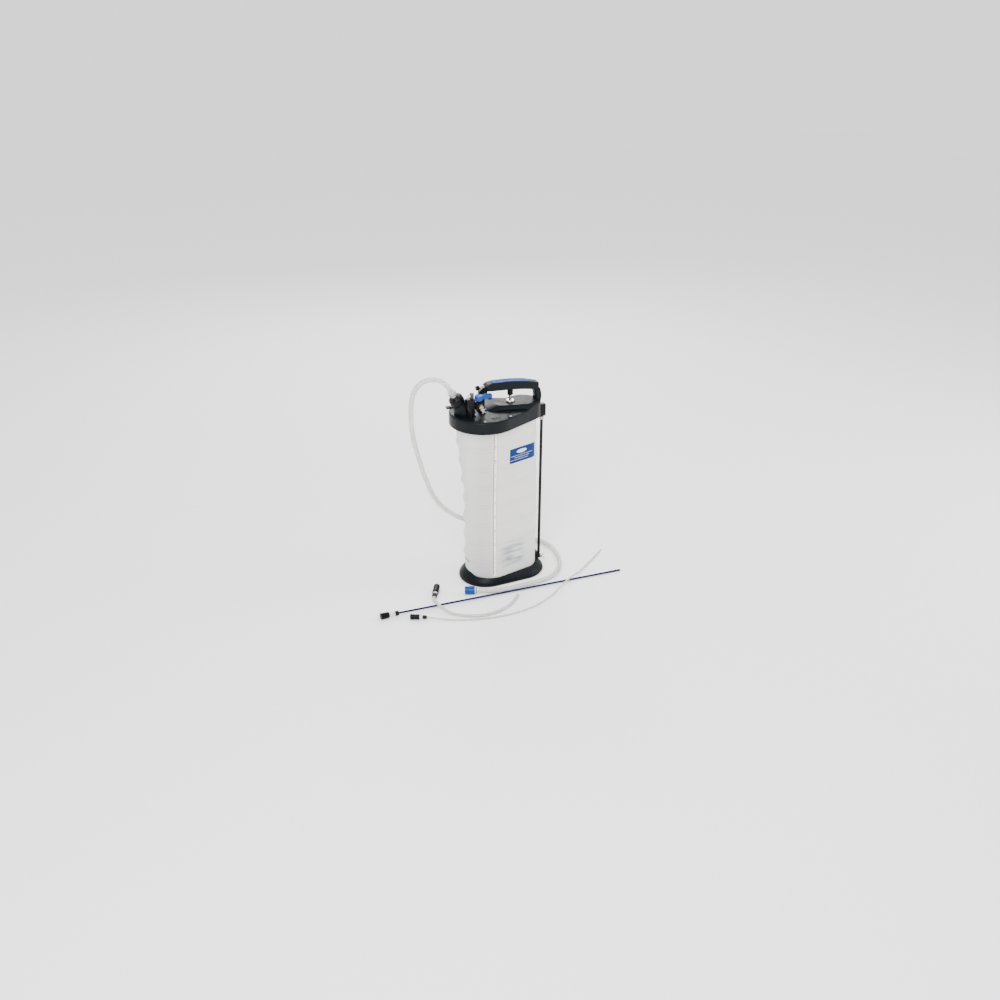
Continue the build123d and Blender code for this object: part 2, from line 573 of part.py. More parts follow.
def venturi_block():
    x_low, x_high, y_low, y_high, z_low, z_high = VENTURI
    body = slab(*VENTURI, edge=3)
    body = chamfer(body.faces().sort_by(Axis.Z)[-1].edges(), 1)
    body += bar((*RISER, DECK - 1), (*RISER, z_low), RISER_R)
    body += bar((*RISER, DECK - 1), (*RISER, DECK + 3), RISER_FOOT_R)
    body += bar((x_high - 3, VALVE_Y, 562), (VALVE_X - VALVE_HALF, VALVE_Y, 562), 5.5)
    body -= bar((x_low - 1, VALVE_Y, 562), (x_high + 6, VALVE_Y, 562), 3)
    body -= bar((*RELIEF, 573), (*RELIEF, z_high + 1), 2 + FIT)
    body -= bar((*RELIEF, z_high - 5), (*RELIEF, z_high + 1), 4.2)
    return body - lid_form()


def silencer():
    x, y, base = -94.0, -22.5, VENTURI[5]
    shape = [(0, 0), (5.8, 0), (5.8, 9), (6.2, 10), (6.2, 13.5), (5, 15), (0, 15)]
    body = turned(shape, (x, y, base), (0, 0, 1))
    for level in range(4):
        low = base + 1.6 + level * 2
        body -= bar((x, y, low), (x, y, low + 0.8), 7, 5.1)
    return body


def relief_button():
    """The ball-headed stem that is pressed to let air back in."""
    stem = bar((*RELIEF, 575.5), (*RELIEF, 588), 2)
    return stem + Pos(*RELIEF, 590.2) * Sphere(5)


def relief_spring():
    """The stem's spring, as its outer form."""
    return bar((*RELIEF, VENTURI[5] - 4.8), (*RELIEF, VENTURI[5] + 2.6), 3.8, 2.3)


def air_valve():
    x, y, half = VALVE_X, VALVE_Y, VALVE_HALF
    body = slab(x - half, x + half, y - half, y + half, VALVE_LOW, VALVE_HIGH, edge=2)
    body += bar((x, y, VALVE_HIGH - 1), (x, y, VALVE_HIGH + 1.2), 6)
    body -= bar((x, y, VALVE_LOW + 8), (x, y, VALVE_HIGH + 2), 3 + FIT)
    return body - bar(plug_start(), along(plug_start(), PLUG_AXIS, 20), 5)


def valve_spindle():
    return bar((VALVE_X, VALVE_Y, VALVE_LOW + 8.5), (VALVE_X, VALVE_Y, VALVE_HUB_HIGH - 2), 3)


def valve_handle():
    """The blue hub and its bar, which points along the lid when the valve is shut."""
    x, y, low, high = VALVE_X, VALVE_Y, VALVE_HUB_LOW, VALVE_HUB_HIGH
    hub = turned([(0, 0), (10.5, 0), (VALVE_HUB_R, 1.5), (VALVE_HUB_R, 12), (9.5, 15), (0, 15)],
                 (x, y, low), (0, 0, 1))
    arm = slab(x, x + 39, y - 6.5, y + 6.5, low + 2.5, high - 0.5)
    arm = fillet(arm.edges(), 2.4)
    rib = slab(x + 14, x + 35, y - 2, y + 2, high - 2, high + 0.8)
    return hub + arm + rib - valve_spindle()


def plug_start():
    return (VALVE_X, VALVE_Y - VALVE_HALF + 6, PLUG_Z)


def brass_adapter():
    """A brass hexagon, screwed into the valve."""
    start = along(plug_start(), PLUG_AXIS, ADAPTER_START)
    frame = Plane(origin=start, x_dir=(1, 0, 0), z_dir=PLUG_AXIS)
    nut = frame * extrude(RegularPolygon(8.6, 6), ADAPTER_LONG)
    stem = bar(along(plug_start(), PLUG_AXIS, 1), along(plug_start(), PLUG_AXIS, ADAPTER_START), 4.9)
    return nut + stem - bar(plug_start(), along(plug_start(), PLUG_AXIS, 25), 3)


def air_plug():
    """The nickel quick-connect plug."""
    start = along(plug_start(), PLUG_AXIS, ADAPTER_START + ADAPTER_LONG)
    shape = [(2.2, 0), (7, 0), (7, 3), (5, 4), (5, 8), (6, 9.5), (6, 12), (4.1, 14),
             (4.1, 17), (5.4, 18.5), (5.4, 23), (4.4, 24), (2.2, 24)]
    return turned(shape, start, PLUG_AXIS)


# ---- Tie rod


def tie_rod():
    body = bar((TIE_FOOT[0], 0, TIE_FOOT[2] + 4), TIE_HEAD, TIE_R)
    body += bar((TIE_EYE[0], 0, TIE_FOOT[2]), (TIE_EYE[1], 0, TIE_FOOT[2]), TIE_EYE_R)
    return body - bar((120, 0, TIE_FOOT[2]), (135, 0, TIE_FOOT[2]), BOLT_R + 0.1)


def tie_frame():
    return Vector(*TIE_HEAD) - Vector(*TIE_FOOT)


def tie_ferrule():
    start = along(TIE_FOOT, tuple(tie_frame()), FERRULE_UP)
    return turned([(TIE_R + FIT, 0), (6, 0), (6.6, 1), (6.6, 6.5), (6, 8), (TIE_R + FIT, 8)],
                  start, tuple(tie_frame()))


def tie_holder():
    body = slab(*HOLDER)
    body = fillet(body.edges(), 3) - block(LID_PLAN, SKIRT_LOW - 20, DECK + 20)
    body += slab(116, 132, -5, 5, 490, 520) - block(LID_PLAN, SKIRT_LOW - 20, DECK + 20)
    return body - bar(TIE_FOOT, TIE_HEAD, TIE_R + FIT)


def foot_bolt():
    z = TIE_FOOT[2]
    return bar((112, 0, z), (BOLT_END, 0, z), BOLT_R)


def wing_nut():
    z = TIE_FOOT[2]
    hub = turned([(BOLT_R + FIT, 0), (6, 0), (4.6, 8), (BOLT_R + FIT, 8)], (NUT_X, 0, z), (1, 0, 0))
    for side in (-1, 1):
        wing = Plane.XY.offset(z - 1.3) * Pos(NUT_X + 7, side * 8.2) * Ellipse(5, 5.4)
        hub += extrude(wing, 2.6)
    return hub - bar((128, 0, z), (150, 0, z), BOLT_R + FIT)


# ---- Hose and probes


def suction_hose():
    return cord(HOSE_ROUTE, HOSE_R, "suction_hose")


def hose_end_frame():
    """Where the hose ends, and its axis there."""
    end, before = HOSE_ROUTE[-1], HOSE_ROUTE[-2]
    axis = (end[0] - before[0], end[1] - before[1], 0)
    return end, axis


def hose_rings(blue):
    """The rings between the hose and its connector: two white, and a blue one between them."""
    end, axis = hose_end_frame()
    spans = [(5.0, 7.4)] if blue else [(1.4, 4.8), (7.6, 11.0)]
    rings = []
    for low, high in spans:
        shape = [(0, low), (8.6, low), (9, low + 0.5), (9, high - 0.5), (8.6, high), (0, high)]
        rings.append(turned(shape, end, axis))
    return rings


def hose_connector():
    end, axis = hose_end_frame()
    shape = [(0, 11.2), (11.2, 11.2), (12, 12.4), (12, 30), (11, 31), (11, 33), (12, 34), (12, 39),
             (9, 40.5), (5, 40.5), (5, 26), (0, 26)]
    body = turned(shape, end, axis)
    frame = Plane(origin=end, z_dir=axis)
    for number in range(16):
        turn = radians(22.5 * number)
        body -= frame * (Pos(12.7 * cos(turn), 12.7 * sin(turn), 21.5) * Cylinder(1.1, 15))
    return body


def rigid_axis():
    return tuple(Vector(*RIGID_TIP) - Vector(*RIGID_BACK))


def ribbed_grip(start, axis, length, rib_count):
    """A round moulded grip with rounded ribs along it and a flange at its back."""
    shape = [(3.2, 0), (GRIP_R, 0), (GRIP_R, 3), (8, 4)]
    pitch = (length - 6) / rib_count
    for number in range(rib_count):
        base = 4.5 + number * pitch
        low, high = base + pitch * 0.25, base + pitch * 0.6
        shape += [(8, base), (9.2, low), (9.2, high), (8, base + pitch * 0.85)]
    shape += [(7.2, length), (3.2, length)]
    return turned(shape, start, axis)


def rigid_tube():
    axis = rigid_axis()
    return bar(along(RIGID_BACK, axis, RIGID_NUT), RIGID_TIP, RIGID_R, RIGID_R - 0.8)


def rigid_barb():
    """The clear tail between the grip and the nut."""
    shape = [(2, RIGID_GRIP + 0.1), (6.5, RIGID_GRIP + 0.1), (6.5, 33), (4.5, 34), (5.8, 38), (4.5, 38),
             (5.5, 41), (4.5, 41), (4.5, RIGID_NECK), (2, RIGID_NECK)]
    return turned(shape, RIGID_BACK, rigid_axis())


def probe_nut(start, axis, low, high, radius):
    lean = 1 if high > low else -1
    shape = [(0, low), (radius - 1, low), (radius, low + lean), (radius, high - 3 * lean),
             (radius - 1.6, high), (0, high)]
    return turned(shape, start, axis)


def flat_axis(route):
    """The level direction from a flexible probe's tube back to its nut and grip."""
    start, then = route[0], route[1]
    return (start[0] - then[0], start[1] - then[1], 0)


def probe_nuts():
    """The black nut at the end of each probe's tube."""
    axis = rigid_axis()
    hole = bar(along(RIGID_BACK, axis, RIGID_NUT), along(RIGID_BACK, axis, 80), RIGID_R)
    nuts = [probe_nut(RIGID_BACK, axis, RIGID_NECK + 0.1, RIGID_NUT + 4, 7) - hole]
    for route, radius in ((THIN_ROUTE, 5.6), (THICK_ROUTE, 7.4)):
        nuts.append(probe_nut(route[0], flat_axis(route), 14, 1.2, radius))
    return nuts


def probe_collars():
    """The pale collar between each flexible probe's nut and its grip."""
    collars = []
    for route, radius in ((THIN_ROUTE, 5), (THICK_ROUTE, 6.4)):
        shape = [(0, 14.1), (radius, 14.1), (radius, COLLAR_END), (0, COLLAR_END)]
        collars.append(turned(shape, route[0], flat_axis(route)))
    return collars


def probe_grips():
    """A moulded black grip with ribs at the back of each probe."""
    grips = [ribbed_grip(RIGID_BACK, rigid_axis(), RIGID_GRIP, 5)]
    for route, radius, length in ((THIN_ROUTE, 8, 27), (THICK_ROUTE, 9.4, 41)):
        start = along(route[0], flat_axis(route), COLLAR_END + 0.1)
        shape = [(0, 0), (radius - 1.6, 0), (radius, 2)]
        for number in range(4):
            base, inner = 4 + number * (length - 8) / 4, radius - 1
            shape += [(radius, base), (inner, base + 1), (inner, base + 2.4), (radius, base + 3.4)]
        shape += [(radius, length - 2), (radius - 2, length), (0, length)]
        grips.append(turned(shape, start, flat_axis(route)))
    return grips


def thin_tube():
    return cord(THIN_ROUTE, THIN_R, "thin_tube")


def thick_tube():
    return cord(THICK_ROUTE, THICK_R, "thick_tube")


NODES = {
    "base_boot": base_boot, "tank": tank, "label_plate": label_plate, "scale_strip": scale_strip,
    "tank_gasket": tank_gasket, "lid": lid, "lid_screws": lid_screws,
    "handle_pillar": handle_pillar, "pillar_screw": pillar_screw, "handle_lever": handle_lever,
    "handle_inlay": handle_inlay, "handle_pin": handle_pin, "latch_post": latch_post,
    "latch_bushing": latch_bushing, "latch_pin": latch_pin, "latch_knob": latch_knob,
    "pump_rod": pump_rod, "rod_clevis": rod_clevis, "clevis_pin": clevis_pin,
    "rod_gland": rod_gland, "rod_seal": rod_seal, "pump_cylinder": pump_cylinder,
    "cylinder_cap": cylinder_cap, "intake_flap": intake_flap, "piston": piston,
    "piston_seal": piston_seal, "piston_nut": piston_nut, "exhaust_flap": exhaust_flap,
    "float_cage": float_cage, "float_ball": float_ball, "inlet_boss": inlet_boss,
    "inlet_nut": inlet_nut, "inlet_tail": inlet_tail, "hose_clamp": hose_clamp,
    "drop_tube": drop_tube, "venturi_block": venturi_block, "silencer": silencer,
    "relief_button": relief_button, "relief_spring": relief_spring, "air_valve": air_valve,
    "valve_spindle": valve_spindle, "valve_handle": valve_handle,
    "brass_adapter": brass_adapter, "air_plug": air_plug, "tie_rod": tie_rod,
    "tie_ferrule": tie_ferrule, "tie_holder": tie_holder, "foot_bolt": foot_bolt,
    "wing_nut": wing_nut, "suction_hose": suction_hose,
    "hose_rings_white": lambda: hose_rings(blue=False),
    "hose_ring_blue": lambda: hose_rings(blue=True), "hose_connector": hose_connector,
    "rigid_tube": rigid_tube, "rigid_barb": rigid_barb, "probe_nuts": probe_nuts,
    "probe_collars": probe_collars, "probe_grips": probe_grips, "thin_tube": thin_tube,
    "thick_tube": thick_tube,
}


def main():
    os.makedirs("parts", exist_ok=True)
    for name, make in NODES.items():
        made = make()
        solids = made if isinstance(made, list) else made.solids()
        whole = Compound(children=[s.solid() if isinstance(s, Part) else s for s in solids])
        print(name, len(solids), round(whole.volume))
        export_step(whole, f"parts/{name}.step")


if __name__ == "__main__":
    main()
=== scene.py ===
"""The looks of the hand vacuum extractor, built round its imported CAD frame. Metres, +Z up."""

import json
import math

import bmesh
import bpy
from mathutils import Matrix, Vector


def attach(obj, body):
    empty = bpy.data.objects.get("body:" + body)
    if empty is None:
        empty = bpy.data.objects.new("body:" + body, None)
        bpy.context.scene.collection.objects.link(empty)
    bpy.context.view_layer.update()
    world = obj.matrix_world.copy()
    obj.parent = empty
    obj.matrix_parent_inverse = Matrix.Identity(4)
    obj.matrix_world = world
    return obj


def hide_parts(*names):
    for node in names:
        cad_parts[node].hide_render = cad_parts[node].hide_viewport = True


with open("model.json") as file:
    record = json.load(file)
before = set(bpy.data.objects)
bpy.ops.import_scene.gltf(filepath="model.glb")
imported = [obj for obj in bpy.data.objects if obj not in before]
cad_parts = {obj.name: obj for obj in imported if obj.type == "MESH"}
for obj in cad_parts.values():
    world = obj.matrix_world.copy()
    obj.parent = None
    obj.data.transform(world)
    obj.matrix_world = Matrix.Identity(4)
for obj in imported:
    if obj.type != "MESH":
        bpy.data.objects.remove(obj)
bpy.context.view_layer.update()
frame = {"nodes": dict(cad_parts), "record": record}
nodes = frame["nodes"]

# Camera: azimuth and elevation in degrees, distance, lens and sensor in millimetres, aim and reach
VIEW_AZIMUTH, VIEW_ELEVATION, VIEW_DISTANCE = -23.0, 26.5, 3.5
VIEW_LENS, VIEW_SENSOR = 43.02, 36.0
VIEW_TARGET, VIEW_REACH = Vector((0.0, 0.0, 0.24)), 50

# Stage: half the floor's side, the world's strength, and the lights' name, place, aim, size and power
FLOOR_HALF, WORLD_STRENGTH = 6.0, 1.5
LIGHTS = (
    ("key", (-1.2, -2.2, 2.6), (0, 0, 0.3), (1.6, 1.6), 130),
    ("side", (2.4, -0.8, 1.6), (0, 0, 0.35), (1.0, 2.0), 42),
    ("rim", (0.6, 2.4, 1.8), (0, 0, 0.4), (2.0, 1.0), 50),
)

# The tank's plan from floor to waist, at its rim, and round its flange: left lobe centre X, its
# radius, right lobe centre X, its radius
TANK_LOW = (-0.036, 0.070, 0.062, 0.048)
TANK_TOP = (-0.052, 0.080, 0.060, 0.048)
FLANGE, FLANGE_THICK = (-0.051, 0.0925, 0.0765, 0.040), 0.006
TANK_FLOOR, TANK_WAIST, TANK_RIM, TANK_SKIN = 0.008, 0.270, 0.509, 0.0025
# Its rings' pitch and number, its rounded foot as heights and insets, and the inset inside the foot
RING_PITCH, RING_COUNT = 0.002, 248
FOOT_ROUND, FOOT_INSIDE = ((0, 0.004), (0.0012, 0.0012)), 0.003
RIB_FIRST, RIB_PITCH, RIB_COUNT, RIB_HALF = 0.078, 0.060, 7, 0.017
RIB_SWELL, RIB_BACK = 0.0035, 0.0038
BEAD_HALF, BEAD_PROUD = 0.0045, 0.00045
# The darker grey-blue patch of streaks low on the front: where it fades in from each side, from below
# and from above
PATCH_RIGHT, PATCH_LEFT, PATCH_FRONT = (0.064, 0.040), (-0.040, 0.000), (0.0, -0.02)
PATCH_BELOW, PATCH_ABOVE, PATCH_DEPTH = (0.046, 0.066), (0.138, 0.116), 0.85

# Routes of the hose and of the two flexible probes, as in the CAD
HOSE_R, HOSE_BORE, HOSE_LONG = 0.007, 0.0052, 1.463
HOSE_ROUTE = [
    (-0.1465, 0, 0.6013), (-0.1595, 0, 0.6238), (-0.178, 0.001, 0.6385),
    (-0.2025, 0.003, 0.645), (-0.227, 0.006, 0.640), (-0.246, 0.009, 0.6225),
    (-0.256, 0.013, 0.595), (-0.259, 0.0175, 0.558), (-0.2575, 0.022, 0.518),
    (-0.252, 0.028, 0.474), (-0.2415, 0.035, 0.428), (-0.227, 0.044, 0.378),
    (-0.209, 0.057, 0.324), (-0.186, 0.072, 0.266), (-0.155, 0.088, 0.212),
    (-0.112, 0.101, 0.168), (-0.060, 0.111, 0.131), (-0.006, 0.121, 0.094),
    (0.050, 0.131, 0.056), (0.104, 0.140, 0.024), (0.157, 0.141, 0.009),
    (0.194, 0.111, 0.0072), (0.204, 0.060, 0.0072), (0.195, -0.006, 0.0072),
    (0.170, -0.062, 0.0072), (0.130, -0.100, 0.0072), (0.082, -0.112, 0.0072),
    (0.028, -0.114, 0.0072), (-0.026, -0.114, 0.0072), (-0.074, -0.111, 0.008),
    (-0.109, -0.097, 0.0122),
]
THIN_R, THIN_BORE, THIN_LONG = 0.0025, 0.0016, 0.72
THIN_ROUTE = [
    (-0.2945, -0.172, 0.0083), (-0.262, -0.188, 0.0036), (-0.216, -0.212, 0.0027),
    (-0.168, -0.229, 0.0027), (-0.118, -0.2385, 0.0027), (-0.064, -0.2415, 0.0027),
    (-0.010, -0.235, 0.0027), (0.040, -0.217, 0.0027), (0.088, -0.191, 0.0032),
    (0.130, -0.164, 0.0134), (0.178, -0.131, 0.0134), (0.222, -0.098, 0.0032),
    (0.262, -0.068, 0.0027), (0.302, -0.036, 0.0027), (0.340, -0.003, 0.0027),
]
THICK_R, THICK_BORE, THICK_LONG = 0.0045, 0.0031, 0.35
THICK_ROUTE = [
    (-0.240, -0.079, 0.0096), (-0.252, -0.102, 0.0166), (-0.247, -0.131, 0.0166),
    (-0.234, -0.160, 0.0066), (-0.212, -0.187, 0.0047), (-0.178, -0.209, 0.0047),
    (-0.140, -0.221, 0.0047), (-0.098, -0.218, 0.0047), (-0.058, -0.202, 0.0047),
    (-0.029, -0.180, 0.0047), (-0.009, -0.156, 0.0047),
]

# The label and the level strip on the tank's front, in X and Z, and how proud their print stands
LABEL_X, LABEL_Z = (-0.0035, 0.0845), (0.382, 0.427)
STRIP_X, STRIP_Z = (-0.052, -0.040), (0.030, 0.495)
PRINT_LOW, PRINT_HIGH = 0.0004, 0.00062
# The label's oval, from the label's middle and top, and its bars, as starts and lengths
OVAL_RIGHT, OVAL_DOWN, OVAL_WIDE, OVAL_HIGH = 0.003, 0.0125, 0.0175, 0.0056
BARS = ((0.010, 0.074), (0.022, 0.052), (0.008, 0.062))
BAR_FIRST, BAR_PITCH, BAR_THICK = 0.0215, 0.0062, 0.0008
# The strip's line and its ticks from its left edge, its figures from their tick, and its right edge.
# The figures are spaced for looks and aren't calibrated.
LINE_X, LINE_INSET = (0.0006, 0.0022), 0.004
MARKS, MARK_PITCH, TICKS_A_MARK = 10, 0.0445, 5
TICK_FIRST, TICK_THICK, TICK_LONG, TICK_SHORT = 0.012, 0.0013, 0.0040, 0.0022
FIGURE_RIGHT, FIGURE_UP, FIGURE_HIGH = 0.0062, 0.0062, 0.0085
EDGE_X, EDGE_INSET = (0.0014, 0.0004), 0.002

# The tilted inlet's foot and axis, and the clamp's straps along it: section, starts and sides
INLET_FOOT, INLET_AXIS = Vector((-0.118, 0, 0.552)), Vector((-0.5, 0, math.sqrt(0.75)))
BAND_SECTION = [(0.0108, 0), (0.0114, 0.0003), (0.0117, 0.0011), (0.0114, 0.0019), (0.0108, 0.0022)]
BAND_STARTS, BAND_SIDES = (0.0476, 0.0526), 40


# ---- Materials


class Shader:
    """A material's node tree, with short calls for what every finish here is made of."""

    def __init__(self, name, color, rough, metal=0.0, **sockets):
        self.mat = bpy.data.materials.new(name)
        self.mat.use_nodes = True
        self.tree = self.mat.node_tree
        self.bsdf = self.tree.nodes["Principled BSDF"]
        self.set("Base Color", (*color, 1))
        self.set("Roughness", rough)
        self.set("Metallic", metal)
        for socket, value in sockets.items():
            self.set(socket.replace("_", " "), value)
        self.place = self.node("ShaderNodeTexCoord").outputs["Object"]
        self.color = color
        self.height = None

    def node(self, kind, **values):
        made = self.tree.nodes.new(kind)
        for key, value in values.items():
            setattr(made, key, value)
        return made

    def set(self, socket, value):
        self.bsdf.inputs[socket].default_value = value

    def link(self, out, into):
        self.tree.links.new(out, into)

    def noise(self, scale, detail=3.0, rough=0.5, stretch=(1, 1, 1), turn=(0, 0, 0)):
        """Noise in the object's own space, squeezed along its axes and turned where asked."""
        mapping = self.node("ShaderNodeMapping")
        mapping.inputs["Scale"].default_value = stretch
        mapping.inputs["Rotation"].default_value = turn
        self.link(self.place, mapping.inputs["Vector"])
        made = self.node("ShaderNodeTexNoise")
        made.inputs["Scale"].default_value = scale
        made.inputs["Detail"].default_value = detail
        made.inputs["Roughness"].default_value = rough
        self.link(mapping.outputs["Vector"], made.inputs["Vector"])
        return made.outputs["Fac"]

    def spread(self, value, low, high, out_low=0.0, out_high=1.0):
        """Maps a value from one range to another, held at its ends."""
        made = self.node("ShaderNodeMapRange")
        ends = {"From Min": low, "From Max": high, "To Min": out_low, "To Max": out_high}
        for key, number in ends.items():
            made.inputs[key].default_value = number
        self.link(value, made.inputs["Value"])
        return made.outputs["Result"]

    def math(self, operation, *values):
        made = self.node("ShaderNodeMath", operation=operation)
        for number, value in enumerate(values):
            if isinstance(value, float):
                made.inputs[number].default_value = value
            else:
                self.link(value, made.inputs[number])
        return made.outputs[0]

    def times(self, first, *others):
        for other in others:
            first = self.math("MULTIPLY", first, other)
        return first

    def plus(self, first, second):
        return self.math("ADD", first, second)

    def tint(self, value, darker, lighter):
        """Varies the colour with a value, between two multiples of the base colour."""
        mix = self.node("ShaderNodeMix", data_type="RGBA")
        mix.inputs["A"].default_value = (*[min(1, c * darker) for c in self.color], 1)
        mix.inputs["B"].default_value = (*[min(1, c * lighter) for c in self.color], 1)
        self.link(value, mix.inputs["Factor"])
        self.link(mix.outputs["Result"], self.bsdf.inputs["Base Color"])

    def gloss(self, value, low, high):
        self.link(self.spread(value, 0.3, 0.7, low, high), self.bsdf.inputs["Roughness"])

    def bump(self, value, depth, strength=1.0):
        made = self.node("ShaderNodeBump")
        made.inputs["Distance"].default_value = depth
        made.inputs["Strength"].default_value = strength
        self.link(value, made.inputs["Height"])
        if self.height:
            self.link(self.height, made.inputs["Normal"])
        self.height = made.outputs["Normal"]
        self.link(self.height, self.bsdf.inputs["Normal"])


def moulded(name, color, rough, grain=900, depth=0.00006, variety=0.14, **sockets):
    """Moulded plastic: a fine spark-eroded grain, slow colour and gloss changes, a few scuffs."""
    s = Shader(name, color, rough, **sockets)
    slow = s.noise(24, 4)
    s.tint(s.spread(slow, 0.35, 0.65), 1 - variety, 1 + variety)
    s.gloss(s.noise(60, 5, 0.6), rough - 0.07, rough + 0.09)
    s.bump(s.noise(grain, 2), depth)
    s.bump(s.noise(35, 2), 0.00006, 0.3)
    return s.mat


def rubber(name, color, rough):
    """Soft rubber: a dull skin with a fine grain, lighter in patches."""
    s = Shader(name, color, rough, Specular_IOR_Level=0.12)
    s.tint(s.spread(s.noise(18, 5, 0.6), 0.35, 0.7), 0.85, 1.5)
    s.gloss(s.noise(90, 4), rough - 0.08, rough + 0.1)
    s.bump(s.noise(1400, 2), 0.00005)
    s.bump(s.noise(120, 3), 0.00008, 0.5)
    return s.mat


def metal(name, color, rough, turning=0.0, variety=0.08):
    """Bare or plated metal: fine marks and a little haze. Turning is how much deeper lathe marks are."""
    s = Shader(name, color, rough, 1.0)
    s.tint(s.spread(s.noise(140, 4), 0.3, 0.7), 1 - variety, 1 + variety)
    s.gloss(s.noise(220, 5, 0.6), max(0.02, rough - 0.05), rough + 0.1)
    stretch = (1, 1, 14) if turning else (1, 1, 1)
    s.bump(s.noise(700, 3, 0.6, stretch), 0.000012 + turning)
    return s.mat


def enamel(name, color, rough):
    """Sprayed enamel: a thin clear coat over a slightly uneven colour."""
    s = Shader(name, color, rough, Coat_Weight=0.12, Coat_Roughness=0.08, Specular_IOR_Level=0.16)
    s.tint(s.spread(s.noise(30, 3), 0.3, 0.7), 0.85, 1.25)
    s.gloss(s.noise(80, 4), rough - 0.05, rough + 0.08)
    s.bump(s.noise(260, 2), 0.00003)
    return s.mat


def blown_tank():
    """Blow-moulded polyethylene: milky, with light in its wall and a slightly wavy skin. A darker
    grey-blue patch lies low on the front, in streaks that lean to the right."""
    s = Shader("tank_polyethylene", (0.90, 0.87, 0.835), 0.34, Transmission_Weight=0.22, IOR=1.45,
               Subsurface_Weight=0.3, Subsurface_Radius=(0.02, 0.018, 0.016), Subsurface_Scale=0.6)
    slow = s.spread(s.noise(9, 3, 0.5, (1, 1, 0.4)), 0.3, 0.7, 0.93, 1.0)
    axes = s.node("ShaderNodeSeparateXYZ")
    s.link(s.place, axes.inputs["Vector"])
    x, y, z = axes.outputs
    # A darker grey-blue patch of streaks low on the front, fading out at its edges
    streaks = s.spread(s.noise(3, 4, 0.5, (5, 5, 34), (0, 0.16, 0)), 0.36, 0.60)
    dark_patch = s.times(streaks, s.spread(x, *PATCH_RIGHT), s.spread(x, *PATCH_LEFT))
    dark_patch = s.times(dark_patch, s.spread(z, *PATCH_BELOW), s.spread(z, *PATCH_ABOVE))
    dark_patch = s.times(dark_patch, s.spread(y, *PATCH_FRONT), PATCH_DEPTH)
    # Painted shade: a soft band left of the strip, a thin dark line at each rib, and a darker foot
    painted_shade = s.times(s.spread(x, -0.048, -0.060), s.spread(x, -0.108, -0.085), 0.22)
    # The dark line beside each rib's bead is painted shade
    level = s.math("PINGPONG", s.math("SUBTRACT", z, RIB_FIRST), RIB_PITCH / 2)
    rib_shade_lines = s.spread(s.math("ABSOLUTE", s.math("SUBTRACT", level, 0.0052)), 0.0026, 0.0008, 0, 0.13)
    # Darker towards the foot: painted shade, added to the rest
    painted_shade = s.plus(painted_shade, s.plus(rib_shade_lines, s.spread(z, 0.16, 0.02, 0, 0.16)))
    mix = s.node("ShaderNodeMix", data_type="RGBA")
    mix.inputs["A"].default_value = (*s.color, 1)
    mix.inputs["B"].default_value = (0.23, 0.27, 0.32, 1)
    s.link(s.plus(dark_patch, painted_shade), mix.inputs["Factor"])
    final = s.node("ShaderNodeMix", data_type="RGBA", blend_type="MULTIPLY")
    final.inputs["Factor"].default_value = 1
    s.link(mix.outputs["Result"], final.inputs["A"])
    s.link(slow, final.inputs["B"])
    s.link(final.outputs["Result"], s.bsdf.inputs["Base Color"])
    s.gloss(s.noise(40, 3), 0.31, 0.44)
    s.bump(s.noise(26, 2, 0.5, (1, 1, 0.3)), 0.0004, 0.5)
    s.bump(s.noise(700, 2), 0.00003, 0.6)
    return s.mat


def clear_tube(name, color, alpha, rough):
    """Soft clear tube: light walls with a sharp sheen and a faint mottle."""
    s = Shader(name, color, rough, Transmission_Weight=0.55, IOR=1.3)
    s.set("Alpha", alpha)
    s.tint(s.spread(s.noise(70, 3), 0.3, 0.7), 0.94, 1.05)
    s.gloss(s.noise(150, 3), rough - 0.04, rough + 0.07)
    s.bump(s.noise(400, 2), 0.00002)
    return s.mat


def printed(name, color, rough, **sockets):
    """Ink or film: nearly flat, with a faint mottle."""
    s = Shader(name, color, rough, **sockets)
    s.tint(s.spread(s.noise(200, 3), 0.3, 0.7), 0.93, 1.07)
    s.gloss(s.noise(90, 2), rough - 0.05, rough + 0.05)
    s.bump(s.noise(500, 2), 0.00001)
    return s.mat


